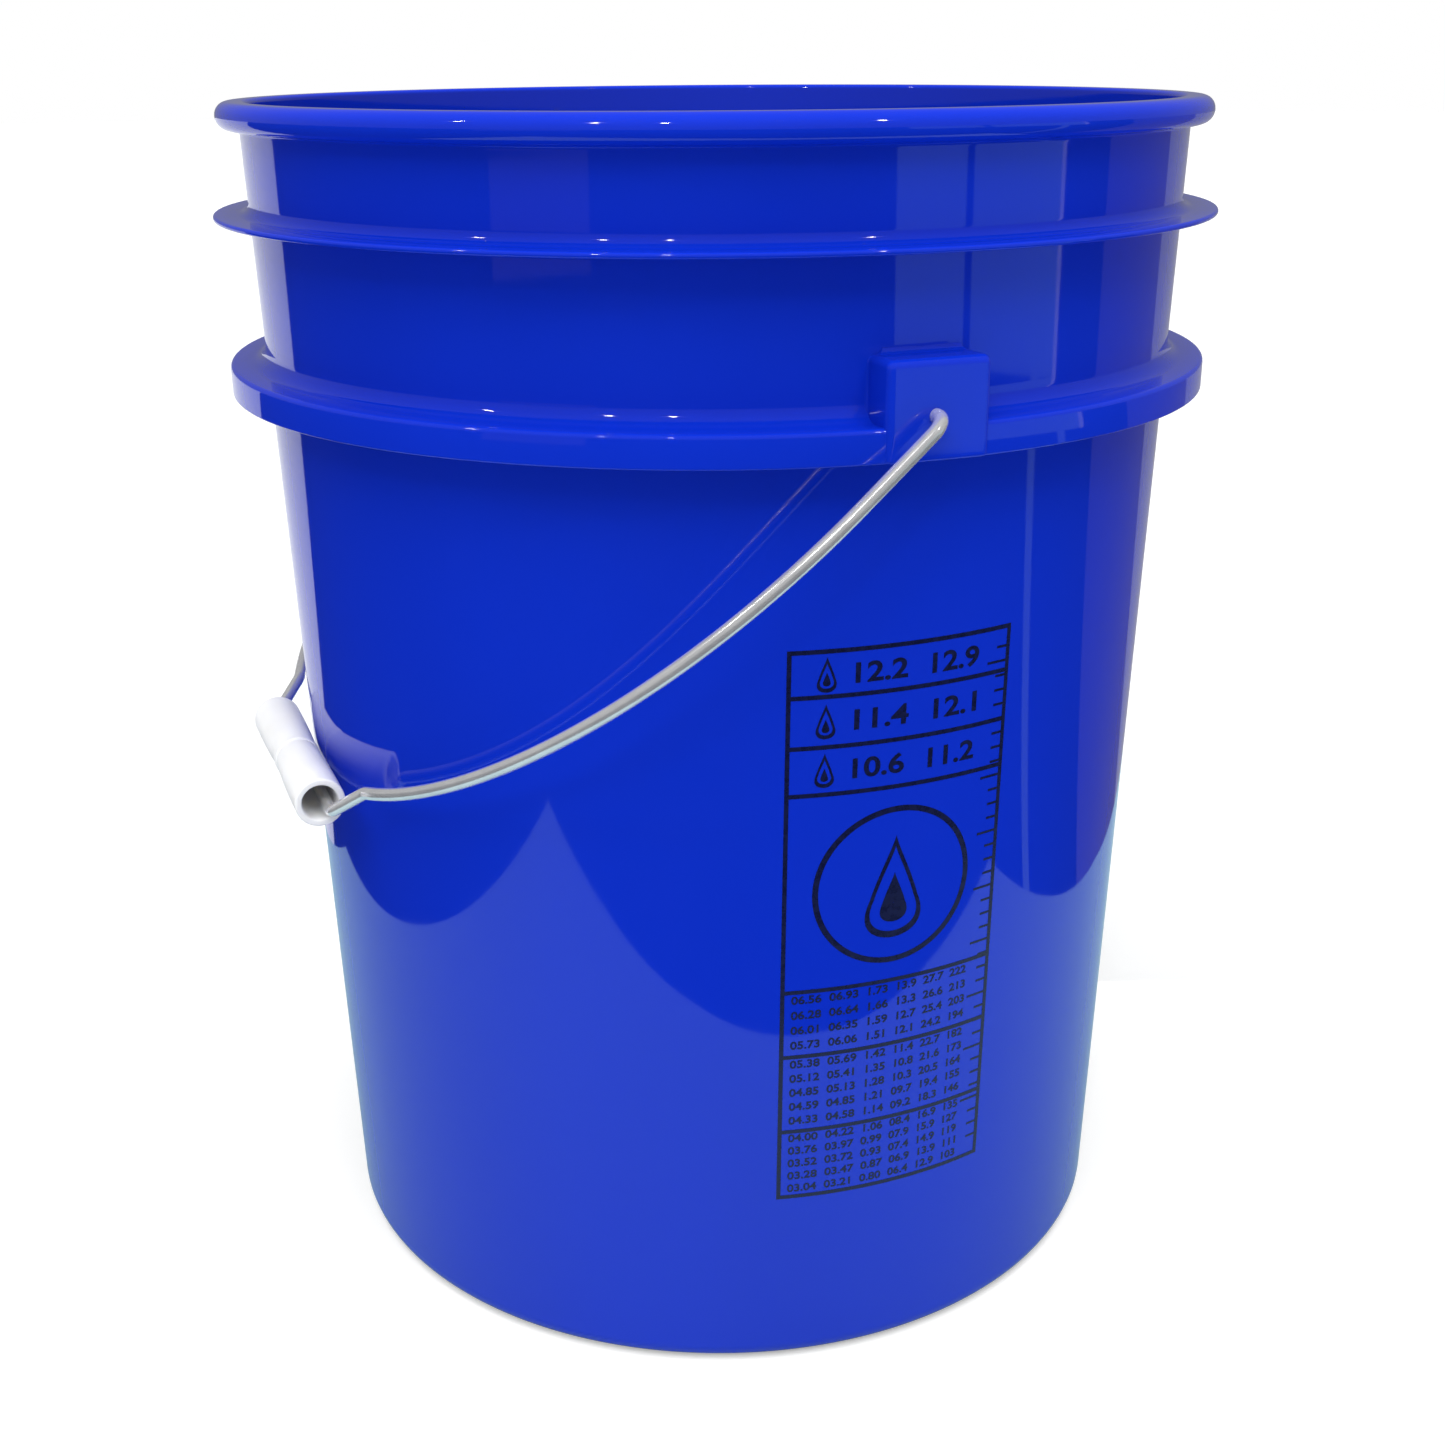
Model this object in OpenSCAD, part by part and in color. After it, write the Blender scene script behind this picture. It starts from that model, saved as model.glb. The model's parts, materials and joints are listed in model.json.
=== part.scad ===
// Wash bucket: an open-head plastic pail with a wire bail and a tube grip.
// +Z is up, the origin is the centre of the base, and the bail turns on an
// axis that runs along Y through the two ears.

/* [Pail] */
// Height from the foot to the top of the rim
pail_h = 368; // [340:1:400]
// Outer radius of the wall at the foot
foot_r = 131.5; // [125:0.5:140]
// How much the wall's radius grows for each millimetre of height
draft = 0.0326; // [0.02:0.0002:0.036]
// Thickness of the side wall
wall_t = 2.3; // [1.8:0.1:3]
// Thickness of the floor
floor_t = 2.6; // [2:0.1:4]
// How far the floor is raised inside the foot ring
floor_rise = 3; // [1:0.5:6]
// Width of the foot ring on the ground
foot_w = 6; // [4:0.5:10]
// Rounding of the outer bottom corner
foot_round = 5; // [3:0.5:8]
// Rounding between the wall and the floor inside
floor_round = 7; // [4:0.5:12]

/* [Rim, flange and ring] */
// Outer radius of the rolled rim
rim_r = 149.8; // [147:0.1:152]
// Height of the rolled rim
rim_h = 7.8; // [6:0.1:10]
// Outer radius of the thin flange under the rim
flange_r = 153; // [148:0.5:154]
// Height of the flange's top above the foot
flange_z = 336.4; // [325:0.1:345]
// Thickness of the flange
flange_t = 1.6; // [1.2:0.1:3]
// Outer radius of the carrying ring
ring_r = 152; // [148:0.5:154]
// Height of the ring's top above the foot
ring_z = 292.8; // [285:0.1:298]
// Height of the ring's outer skirt
ring_h = 9; // [6:0.5:12]
// Thickness of the ring's plate and skirt
ring_t = 1.9; // [1.5:0.1:2.5]
// Number of webs under the ring
web_count = 24; // [12:12:36]
// Thickness of a web
web_t = 1.4; // [1:0.1:2]

/* [Ears] */
// Width of an ear
ear_w = 29; // [26:0.5:34]
// Height of an ear's top above the foot
ear_z = 309.6; // [306:0.1:312]
// Distance from the pail's axis to an ear's outer face
ear_y = 152.5; // [152.3:0.1:153.5]
// Thickness of an ear's walls
ear_t = 2; // [1.6:0.1:2.6]
// Rounding of an ear's upright outer edges
ear_round = 2; // [1:0.1:2.5]
// Diameter of the hole that the bail hangs in
ear_hole_d = 7; // [6:0.1:8]
// Height of the hole's centre above the foot
ear_hole_z = 296.4; // [295:0.1:298]

/* [Bail] */
// Diameter of the bail's wire
wire_d = 3.8; // [3.2:0.1:4.2]
// Half the distance between the bail's two legs, centre to centre
leg_y = 158.3; // [158:0.1:160]
// Length of each straight leg below its pivot
leg_l = 29; // [20:1:32]
// Distance from the pivot to the straight run inside the grip
reach = 188.6; // [187:0.1:190]
// Angle from the middle of the bow at which it kinks out to the grip
kink_a = 21.5; // [19:0.5:22]
// Half the length of the straight run that holds the grip
seat_y = 49; // [47:0.5:50]
// Radius of the bends
bend_r = 5; // [4:0.5:6]
// How far the hooked end runs in from the leg
hook_in = 14; // [12:0.5:15]
// Length of the hook's upturned end
hook_up = 6.4; // [5.5:0.1:7]

/* [Grip] */
// Length of the grip
grip_l = 80; // [74:1:84]
// Outer diameter of the grip at its ends
grip_d = 15; // [14.4:0.1:16]
// Outer diameter of the grip's waist, next to the rib
waist_d = 13.2; // [12.8:0.1:14]
// Diameter of the grip's bore
grip_bore_d = 10.4; // [10:0.1:10.8]
// Height of the thin rib round the middle of the grip
rib_h = 0.5; // [0.3:0.1:0.8]
// Width of the rib
rib_w = 2; // [1.5:0.1:3]
// How far the grip has slid from the middle of its run towards the near ear
grip_slide = 5; // [0:0.5:7]

/* [Hidden] */

$fn = 96;
eps = 0.01;
lap = 1;                               // overlap of joined solids inside one piece
play = 0.1;                            // gap that keeps touching faces apart
web_up = 1.5;                          // how far a web stops above the ring's lower edge
foot_lean = 0.5;                       // lean of the foot ring's inner face, either way
cut = 2;                               // how far a cutter reaches past what it cuts
shell_low = 2;                         // how far the plain shell stops below the rim's top
wide = 2 * foot_r;                     // wider than any half section of the shell
lie_a = 45;                            // where the wire lies in its hole, from straight down
grip_steps = 4;                        // straight steps from the grip's waist to its end

draft_a = atan(draft);
floor_z = floor_rise + floor_t;
foot_c = round_centre(foot_r, foot_round, foot_round);
inner_r = foot_r - wall_t / cos(draft_a);
floor_c = round_centre(inner_r, floor_z + floor_round, floor_round);

hang = (ear_hole_d - wire_d) / 2 - play; // the wire lies in the bottom of its hole
pivot_x = -hang * sin(lie_a);
pivot_z = ear_hole_z - hang * cos(lie_a);

// Where the bow kinks out to the straight run, as [y, z] with the bail hanging down.
kink = [leg_y * sin(kink_a), -leg_l - leg_y * cos(kink_a)];

grip_off = grip_bore_d / 2 - wire_d / 2 - play;
off_a = 10;                            // the grip leans outwards from the bail's plane
grip_rho = reach + grip_off * sin(off_a);
grip_n = grip_off * cos(off_a);
rest_a = 48.5;                         // bail's angle from straight down, grip at the wall

// Radius of the wall's outer face at height z, and of its inner face.
function outer_at(z) = foot_r + draft * z;
function inner_at(z) = inner_r + draft * z;

// Radius of the centre of a corner rounding r whose centre is at height z,
// so that it touches the drafted face that starts at radius r0.
function round_centre(r0, z, r) = r0 + draft * z - r / cos(draft_a);

// A closed half section with one rounded bottom corner, up to height top.
module cup_section(r0, z0, r, centre, top) {
    polygon([
        [0, z0],
        [centre, z0],
        [centre + r * cos(draft_a), z0 + r - r * sin(draft_a)],
        [r0 + draft * top, top],
        [0, top]
    ]);
    translate([centre, z0 + r]) circle(r = r);
}

// The drafted shell: side wall, floor and foot ring.
module shell() {
    difference() {
        rotate_extrude() intersection() {
            cup_section(foot_r, 0, foot_round, foot_c, pail_h - shell_low);
            square([wide, pail_h]);
        }
        rotate_extrude() intersection() {
            cup_section(inner_r, floor_z, floor_round, floor_c, pail_h + cut);
            square([wide, pail_h + cut]);
        }
        translate([0, 0, -eps])
            cylinder(r1 = foot_c - foot_w + foot_lean, r2 = foot_c - foot_w - foot_lean,
                     h = floor_rise + eps);
    }
}

// The rolled rim, a rounded bead outside the top of the wall.
module rim() {
    bead = rim_h / 2;
    z = pail_h - bead;
    lip = 1.1;
    in_r = inner_at(pail_h - rim_h);
    difference() {
        rotate_extrude() {
            translate([rim_r - bead, z]) circle(r = bead);
            translate([in_r + lip, pail_h - rim_h])
                square([rim_r - bead - in_r - lip, rim_h]);
            translate([in_r + lip, pail_h - lip]) circle(r = lip);
            translate([in_r, pail_h - rim_h]) square([lip, rim_h - lip]);
        }
        translate([0, 0, pail_h - rim_h - eps])
            cylinder(r1 = inner_at(pail_h - rim_h), r2 = inner_at(pail_h - lip),
                     h = rim_h - lip);
    }
}

// A flat ring outside the wall, with a rounded edge.
module collar(r, z_top, t) {
    from = outer_at(z_top) - lap;
    rotate_extrude() {
        translate([from, z_top - t]) square([r - t / 2 - from, t]);
        translate([r - t / 2, z_top - t / 2]) circle(r = t / 2);
    }
}

// The carrying ring: a plate with a skirt that hangs from its edge.
module ring() {
    collar(ring_r, ring_z, ring_t);
    rotate_extrude()
        translate([ring_r - ring_t, ring_z - ring_h]) square([ring_t, ring_h - ring_t / 2]);
}

// The webs under the ring, spaced evenly and clear of the ears.
module webs() {
    step = 360 / web_count;
    from = outer_at(ring_z - ring_h) - lap;
    for (i = [0 : web_count - 1])
        rotate([90, 0, (i + 0.5) * step])
            translate([from, ring_z - ring_h + web_up, -web_t / 2])
                cube([ring_r - ring_t / 2 - from, ring_h - web_up - ring_t / 2, web_t]);
}

// One ear as a solid block with rounded outer edges, on the -Y side.
module ear_block(side, z0, z1, y_out, corner) {
    y_in = outer_at(ring_z) - lap;
    translate([0, 0, z0]) linear_extrude(z1 - z0) {
        translate([-side, -y_out + corner]) square([2 * side, y_out - corner - y_in]);
        translate([-side + corner, -y_out]) square([2 * (side - corner), corner + eps]);
        for (s = [-1, 1])
            translate([s * (side - corner), -y_out + corner]) circle(r = corner);
    }
}

// The space inside an ear, open below and closed by the pail's wall behind.
module ear_space() {
    side = ear_w / 2 - ear_t;
    translate([-side, -ear_y + ear_t, ring_z - ring_h - cut])
        cube([2 * side, ear_y - ear_t - outer_at(0), ear_z - ring_z + ring_h + cut - ear_t]);
}

module ear_hole() {
    translate([0, -ear_y - eps, ear_hole_z]) rotate([-90, 0, 0])
        cylinder(d = ear_hole_d, h = ear_t + 2 * eps);
}

// The pail: one moulding with its rim, flange, ring and two boxed ears.
module pail_body() {
    color("royalblue") {
        shell();
        rim();
        collar(flange_r, flange_z, flange_t);
        difference() {
            union() {
                ring();
                webs();
                for (turn = [0, 180]) rotate(turn)
                    ear_block(ear_w / 2, ring_z - ring_h, ear_z, ear_y, ear_round);
            }
            for (turn = [0, 180]) rotate(turn) {
                ear_space();
                ear_hole();
            }
        }
    }
}

// A bend of the wire in the YZ plane: centre [y, z], bend radius r, from a0 over da.
module wire_bend(y, z, r, a0, da) {
    translate([0, y, z]) rotate([90, 0, 90])
        rotate_extrude(angle = da, start = a0) translate([r, 0]) circle(d = wire_d);
}

// A straight run of the wire in the YZ plane between two points.
module wire_run(p, q) {
    d = q - p;
    translate([0, p.x, p.y]) rotate([-atan2(d.x, d.y), 0, 0])
        cylinder(d = wire_d, h = norm(d));
}

// A rounded corner between two runs, a trace fatter than the wire so that all three join.
module wire_corner(p) {
    translate([0, p.x, p.y]) sphere(d = wire_d + play);
}

// Half of the bail hanging straight down in the YZ plane, with its pivot at z = 0,
// without the straight run through the grip.
module bail_half() {
    in_y = leg_y - hook_in;
    // hooked end, passage through the ear, and leg
    wire_run([in_y, bend_r], [in_y, hook_up]);
    wire_bend(in_y + bend_r, bend_r, bend_r, 180, 90);
    wire_run([in_y + bend_r, 0], [leg_y - bend_r, 0]);
    wire_bend(leg_y - bend_r, -bend_r, bend_r, 0, 90);
    wire_run([leg_y, -bend_r], [leg_y, -leg_l]);
    // bow, and the kink out to the straight run
    wire_bend(0, -leg_l, leg_y, -90 + kink_a, 90 - kink_a);
    wire_corner(kink);
    wire_run(kink, [seat_y, -reach]);
    wire_corner([seat_y, -reach]);
}

// Places a child that is drawn hanging straight down from the pivot at its rest angle.
module at_rest() {
    translate([pivot_x, 0, pivot_z]) rotate([0, rest_a, 0]) children();
}

module bail_wire() {
    color("silver") at_rest() {
        bail_half();
        mirror([0, 1, 0]) bail_half();
        wire_run([-seat_y, -reach], [seat_y, -reach]);
    }
}

// Radius of the grip at a share u of the way from its middle to an end: it grows
// quickly near the waist and slowly near the end.
function grip_at(u) = (grip_d - (grip_d - waist_d) * pow(1 - u, 3)) / 2;

// The grip: a waisted tube with a thin rib round its middle.
module grip() {
    half = grip_l / 2;
    color("white") at_rest()
        translate([-grip_n, -grip_slide, -grip_rho]) rotate([-90, 0, 0])
            difference() {
                union() {
                    rotate_extrude() polygon(concat(
                        [[0, -half]],
                        [for (i = [-grip_steps : grip_steps])
                            [grip_at(abs(i) / grip_steps), i / grip_steps * half]],
                        [[0, half]]
                    ));
                    translate([0, 0, -rib_w / 2])
                        cylinder(d = waist_d + 2 * rib_h, h = rib_w);
                }
                translate([0, 0, -half - eps]) cylinder(d = grip_bore_d, h = grip_l + 2 * eps);
            }
}

pail_body();
bail_wire();
grip();
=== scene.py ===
# %% [markdown]
# # A wash bucket
# The real thing is a moulded polyethylene pail with a wire bail and a loose tube grip.
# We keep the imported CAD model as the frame, and build each visible surface round it as an
# exact formula on a grid, because gloss plastic shows every facet in its reflections.

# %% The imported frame
import json
import math

import bpy
import numpy as np
from mathutils import Matrix, Vector


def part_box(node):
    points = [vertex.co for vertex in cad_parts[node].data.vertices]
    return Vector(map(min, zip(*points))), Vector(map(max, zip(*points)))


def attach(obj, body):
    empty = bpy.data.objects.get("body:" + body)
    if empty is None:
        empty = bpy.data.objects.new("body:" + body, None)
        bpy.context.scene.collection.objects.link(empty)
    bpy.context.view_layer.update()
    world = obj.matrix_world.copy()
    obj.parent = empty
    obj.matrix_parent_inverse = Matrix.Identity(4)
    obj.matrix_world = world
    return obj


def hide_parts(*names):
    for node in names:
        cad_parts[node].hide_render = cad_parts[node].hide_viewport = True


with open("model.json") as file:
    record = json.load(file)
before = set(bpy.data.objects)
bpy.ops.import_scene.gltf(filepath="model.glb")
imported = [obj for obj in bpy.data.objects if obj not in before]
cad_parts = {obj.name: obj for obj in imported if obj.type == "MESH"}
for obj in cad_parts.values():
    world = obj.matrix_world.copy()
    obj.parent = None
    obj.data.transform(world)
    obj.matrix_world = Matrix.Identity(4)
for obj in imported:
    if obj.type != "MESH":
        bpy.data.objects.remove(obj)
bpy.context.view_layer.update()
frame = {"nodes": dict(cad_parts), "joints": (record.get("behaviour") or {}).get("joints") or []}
MM = 0.001

# %% [markdown]
# ## Sizes
# The pail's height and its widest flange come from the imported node's box.
# The rest of the moulding's section is set out here in millimetres, as on a drawing.

# %% Sizes of the moulding
pail_low, pail_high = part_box("pail_body")
PAIL_H = (pail_high.z - pail_low.z) / MM
FLANGE_R = pail_high.x / MM
EAR_FACE = 152.5
FOOT_R = 131.5
DRAFT = 0.0326
WALL = 2.3
FLOOR_RISE = 3.0
FLOOR_TOP = 5.6
FOOT_W = 11.5
FOOT_ROUND = 5.0
FLOOR_ROUND = 7.0
FLANGE_FILLET = 3.2
RIM_R = 149.8
RIM_H = 7.8
FLANGE_Z = 336.4
FLANGE_T = 1.6
RING_R = 152.0
RING_Z = 292.8
RING_H = 9.0
RING_T = 1.9
RING_BURIED = 1.0
RING_FILLET = 4.5
RING_RISE = 6.5
WEB_COUNT = 24
WEB_HALF = 0.7
WEB_UP = 1.5
EAR_HALF = 14.5
EAR_TOP = 309.6
EAR_T = 2.0
HOLE_Z = 296.4
HOLE_R = 3.5
EAR_ROUND = 2.0
EAR_FOOT = 0.8
EAR_FILLET = 1.6
TURN_STEPS = 288


def wall_r(z):
    """Radius of the wall's outer face: the foot's radius plus the draft times the height."""
    return FOOT_R + DRAFT * z


def inner_r(z):
    """Radius of the wall's inner face: the outer radius less the wall's thickness."""
    return wall_r(z) - WALL


print("flange radius", round(FLANGE_R, 1), "ear face at", round(EAR_FACE, 1))

# %% [markdown]
# ## The camera
# The camera stands a little above the rim, to the left of the near ear, and looks down.
# It is made first, so that everything after it can be judged through it.

# %% Camera
CAM_TURN = math.radians(-21.4)
CAM_RANGE = 0.6016
CAM_HEIGHT = 0.38287
CAM_DIP = math.radians(20.156)
CAM_YAW = math.radians(0.096)
CAM_ROLL = math.radians(0.396)
CAM_LENS = 46.105


def make_camera():
    """Places the camera by its turn round the pail, its range, height, dip, yaw and roll."""
    data = bpy.data.cameras.new("camera")
    data.lens = CAM_LENS
    data.sensor_width = 36.0
    data.clip_start = 0.01
    data.clip_end = 60.0
    cam = bpy.data.objects.new("camera", data)
    bpy.context.scene.collection.objects.link(cam)
    out = np.array([math.sin(CAM_TURN), -math.cos(CAM_TURN), 0.0])
    aim = math.pi + CAM_TURN - CAM_YAW
    level = np.array([math.sin(aim), -math.cos(aim), 0.0])
    ahead = level * math.cos(CAM_DIP) - np.array([0.0, 0.0, math.sin(CAM_DIP)])
    right = np.cross(level, [0.0, 0.0, 1.0])
    up = np.cross(right, ahead)
    tilted_up = up * math.cos(CAM_ROLL) + right * math.sin(CAM_ROLL)
    tilted_right = np.cross(ahead, tilted_up)
    place = out * CAM_RANGE + np.array([0.0, 0.0, CAM_HEIGHT])
    matrix = np.eye(4)
    matrix[:3, 0] = tilted_right
    matrix[:3, 1] = tilted_up
    matrix[:3, 2] = -ahead
    matrix[:3, 3] = place
    cam.matrix_world = Matrix(matrix.tolist())
    bpy.context.scene.camera = cam
    return cam


camera = make_camera()
print("camera at", [round(c, 3) for c in camera.matrix_world.translation])

# %% [markdown]
# ## Surfaces from grids
# Most of the bucket is turned, swept or wrapped. Each helper takes whole numpy arrays of
# points and writes one mesh, so a shape is always a formula and never a list of vertices.

# %% Mesh helpers


def mesh_object(name, points, faces, body, slot, sharp=None):
    """Writes points in millimetres and faces to a mesh that rides on a body.
    Edges bent by more than the sharp angle, in degrees, stay crisp."""
    mesh = bpy.data.meshes.new(name)
    mesh.from_pydata((np.asarray(points) * MM).tolist(), [], faces)
    mesh.polygons.foreach_set("use_smooth", np.ones(len(mesh.polygons), bool))
    mesh.update()
    if sharp is not None:
        mesh.set_sharp_from_angle(angle=math.radians(sharp))
    piece = bpy.data.objects.new(name, mesh)
    bpy.context.scene.collection.objects.link(piece)
    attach(piece, body)
    print(name, "has", len(mesh.vertices), "points and", len(mesh.polygons), "faces")
    return piece


def grid_quads(rows, columns, wrap_rows=False, wrap_columns=False, first=0):
    """Faces of a grid of points numbered row by row, joined round on itself if wrapped."""
    i = np.arange(rows if wrap_rows else rows - 1)[:, None]
    j = np.arange(columns if wrap_columns else columns - 1)[None, :]
    i2 = (i + 1) % rows
    j2 = (j + 1) % columns
    corners = (i * columns + j, i * columns + j2, i2 * columns + j2, i2 * columns + j)
    return (np.stack(np.broadcast_arrays(*corners), axis=-1).reshape(-1, 4) + first).tolist()


def rounded(corners, steps=8, closed=False):
    """An outline through corners (x, y, radius). Each corner becomes the arc that touches
    both of its sides: its centre lies on the bisector, radius / sin(half angle) away."""
    c = np.array(corners, float)
    p, r = c[:, :2], c[:, 2]
    before = np.roll(p, 1, axis=0)
    after = np.roll(p, -1, axis=0)
    a = (before - p) / np.linalg.norm(before - p, axis=1, keepdims=True)
    b = (after - p) / np.linalg.norm(after - p, axis=1, keepdims=True)
    half = np.arccos(np.clip((a * b).sum(1), -1, 1)) / 2
    middle = a + b
    middle /= np.maximum(np.linalg.norm(middle, axis=1, keepdims=True), 1e-9)
    centre = p + middle * (r / np.sin(half))[:, None]
    touch = (r / np.tan(half))[:, None]
    d0 = p + a * touch - centre
    d1 = p + b * touch - centre
    start = np.arctan2(d0[:, 1], d0[:, 0])
    sweep = np.arctan2(d1[:, 1], d1[:, 0]) - start
    sweep = (sweep + np.pi) % (2 * np.pi) - np.pi
    angle = start[:, None] + sweep[:, None] * np.linspace(0, 1, steps + 1)
    arc = centre[:, None] + r[:, None, None] * np.stack([np.cos(angle), np.sin(angle)], -1)
    if not closed:
        arc[0] = p[0]
        arc[-1] = p[-1]
    return tidy(arc.reshape(-1, 2), closed)


def tidy(points, closed=False):
    """Drops points that repeat the one before them."""
    gap = np.linalg.norm(points - np.roll(points, 1, axis=0), axis=1)
    keep = gap > 1e-6
    if not closed:
        keep[0] = True
    return points[keep]


def spaced(points, longest, closed=False):
    """Cuts each side longer than a length into equal parts, with a point close to its ends
    so that the smooth shading of a corner doesn't spread along a straight side."""
    nxt = np.roll(points, -1, axis=0) if closed else points[1:]
    here = points if closed else points[:-1]
    out = []
    for p, q in zip(here, nxt):
        length = np.linalg.norm(q - p)
        parts = max(1, math.ceil(length / longest))
        t = np.arange(parts) / parts
        if length > 4.0:
            t = np.unique(np.concatenate([t, [0.4 / length, 1 - 0.4 / length]]))
        out.append(p + (q - p) * t[:, None])
    if not closed:
        out.append(points[-1:])
    return np.concatenate(out)


# %% [markdown]
# ## The pail's shell
# The wall, floor, foot, flange and rolled rim are one turned section. It starts under the
# middle of the floor, goes out round the foot, up the outside, over the rim and down the
# inside. Small roundings where faces meet are what catches the light on a moulding.

# %% Section of the shell


def shell_section():
    """Half section of the shell as (radius, height), from axis to axis."""
    z_rim = PAIL_H - RIM_H
    under = FLANGE_Z - FLANGE_T
    floor_r = inner_r(FLOOR_TOP)
    corners = [
        (0.0, FLOOR_RISE, 0.0),
        (FOOT_R - FOOT_W, FLOOR_RISE, 1.2),
        (FOOT_R - FOOT_W + 0.6, 0.0, 0.9),
        (FOOT_R, 0.0, FOOT_ROUND),
        (wall_r(under), under, 1.0),
        (FLANGE_R, under, 0.7),
        (FLANGE_R, FLANGE_Z, 0.8),
        (wall_r(FLANGE_Z), FLANGE_Z, FLANGE_FILLET),
        (wall_r(z_rim), z_rim, 1.0),
        (RIM_R, z_rim, 3.7),
        (RIM_R, PAIL_H, 3.9),
        (inner_r(PAIL_H), PAIL_H, 1.3),
        (floor_r, FLOOR_TOP, FLOOR_ROUND),
        (0.0, FLOOR_TOP, 0.0),
    ]
    return spaced(rounded(corners), 14.0)


def turned(name, section, body, slot):
    """Turns an open section about Z. Point (i, j) is (r sin t, -r cos t, z) with the turn
    t = 2 pi j / steps. Both ends lie on the axis, and each becomes one point."""
    t = np.arange(TURN_STEPS) * 2 * np.pi / TURN_STEPS
    r = section[1:-1, 0][:, None]
    z = section[1:-1, 1][:, None]
    ring = np.stack([r * np.sin(t), -r * np.cos(t), z + 0 * t], axis=-1)
    poles = [[0, 0, section[0, 1]], [0, 0, section[-1, 1]]]
    points = np.concatenate([ring.reshape(-1, 3), poles])
    rows = len(section) - 2
    j = np.arange(TURN_STEPS)
    j2 = (j + 1) % TURN_STEPS
    last = (rows - 1) * TURN_STEPS
    pole = rows * TURN_STEPS
    start = np.stack([j2, j, pole + 0 * j], -1).tolist()
    end = np.stack([last + j, last + j2, pole + 1 + 0 * j], -1).tolist()
    quads = grid_quads(rows, TURN_STEPS, wrap_columns=True)
    return mesh_object(name, points, quads + start + end, body, slot, sharp=50)


pail_shell = turned("pail_shell", shell_section(), "pail", "pail_plastic")
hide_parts("pail_body")

# %% [markdown]
# ## The carrying ring
# The ring is a plate with a hanging skirt. It runs from ear to ear on each side, so it is
# two swept pieces of the same section, and both ends are buried in the ears' side walls.
# Short webs under it tie the skirt to the wall.

# %% Ring and webs


def ring_section():
    """Closed section of the ring: plate on top, skirt at the outer edge, root on the wall."""
    low = RING_Z - RING_H
    under = RING_Z - RING_T
    root = wall_r(RING_Z)
    rise = RING_Z + RING_RISE
    corners = [
        (root - 1.0, under, 0.0),
        (RING_R - RING_T, under, 0.8),
        (RING_R - RING_T, low, 0.5),
        (RING_R, low, 0.6),
        (RING_R, RING_Z, 1.25),
        (root + 0.02, RING_Z, RING_FILLET),
        (wall_r(rise) + 0.02, rise, 0.0),
        (root - 1.0, rise, 0.0),
    ]
    return rounded(corners, steps=8, closed=True)


def arc_band(section, gap, side):
    """Sweeps a closed section round one side of the pail, from ear to ear. At radius r it
    stops where x is the gap, which is the angle asin(gap / r) from the ear."""
    u = np.linspace(0, 1, TURN_STEPS // 2)[None, :]
    r = section[:, 0][:, None]
    z = section[:, 1][:, None]
    stop = np.arcsin(gap / r)
    t = stop + (np.pi - 2 * stop) * u
    if side < 0:
        t = t + np.pi
    points = np.stack([r * np.sin(t), -r * np.cos(t), z + 0 * t], axis=-1)
    rows, columns = len(section), u.shape[1]
    faces = grid_quads(rows, columns, wrap_rows=True)
    row_ids = np.arange(rows) * columns
    faces.append(row_ids.tolist())
    faces.append((row_ids + columns - 1)[::-1].tolist())
    return points.reshape(-1, 3), faces


def joined(parts):
    """Puts several lots of points and faces into one, renumbering the faces."""
    points, faces, first = [], [], 0
    for p, f in parts:
        points.append(p)
        faces += [[v + first for v in face] for face in f]
        first += len(p)
    return np.concatenate(points), faces


def web_plates():
    """The webs: thin upright plates from the wall to the skirt, spaced evenly."""
    low = RING_Z - RING_H + WEB_UP
    high = RING_Z - RING_T / 2
    near = wall_r(low) - 1.0
    far = RING_R - RING_T / 2
    corner = np.array([[x, y, z] for z in (low, high) for x in (near, far)
                       for y in (-WEB_HALF, WEB_HALF)])
    box = [[0, 1, 3, 2], [4, 6, 7, 5], [0, 4, 5, 1], [2, 3, 7, 6], [0, 2, 6, 4], [1, 5, 7, 3]]
    parts = []
    for turn in (np.arange(WEB_COUNT) + 0.5) * 2 * np.pi / WEB_COUNT:
        c, s = math.cos(turn), math.sin(turn)
        spin = np.array([[c, s, 0], [-s, c, 0], [0, 0, 1]])
        parts.append((corner @ spin, box))
    return joined(parts)


section = ring_section()
sides = [arc_band(section, EAR_HALF - RING_BURIED, side) for side in (1, -1)]
carrying_ring = mesh_object("carrying_ring", *joined(sides), "pail", "pail_plastic", sharp=50)
ring_webs = mesh_object("ring_webs", *web_plates(), "pail", "pail_plastic", sharp=30)

# %% [markdown]
# ## The ears
# An ear is a hollow box, open below, with a round hole for the bail. Its outside is a stack
# of rounded plans with a fillet where it meets the wall. Then it is hollowed and drilled, and
# the crisp edges that are left get a small rounding.

# %% Ears


def block(name, low, high):
    """A plain block between two corners, in millimetres, not linked to any body."""
    x, y, z = np.array([low, high]).T
    points = np.array([[a, b, c] for a in x for b in y for c in z]) * MM
    faces = [[0, 1, 3, 2], [4, 6, 7, 5], [0, 4, 5, 1], [2, 3, 7, 6], [0, 2, 6, 4], [1, 5, 7, 3]]
    mesh = bpy.data.meshes.new(name)
    mesh.from_pydata(points.tolist(), [], faces)
    tool = bpy.data.objects.new(name, mesh)
    bpy.context.scene.collection.objects.link(tool)
    return tool


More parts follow.
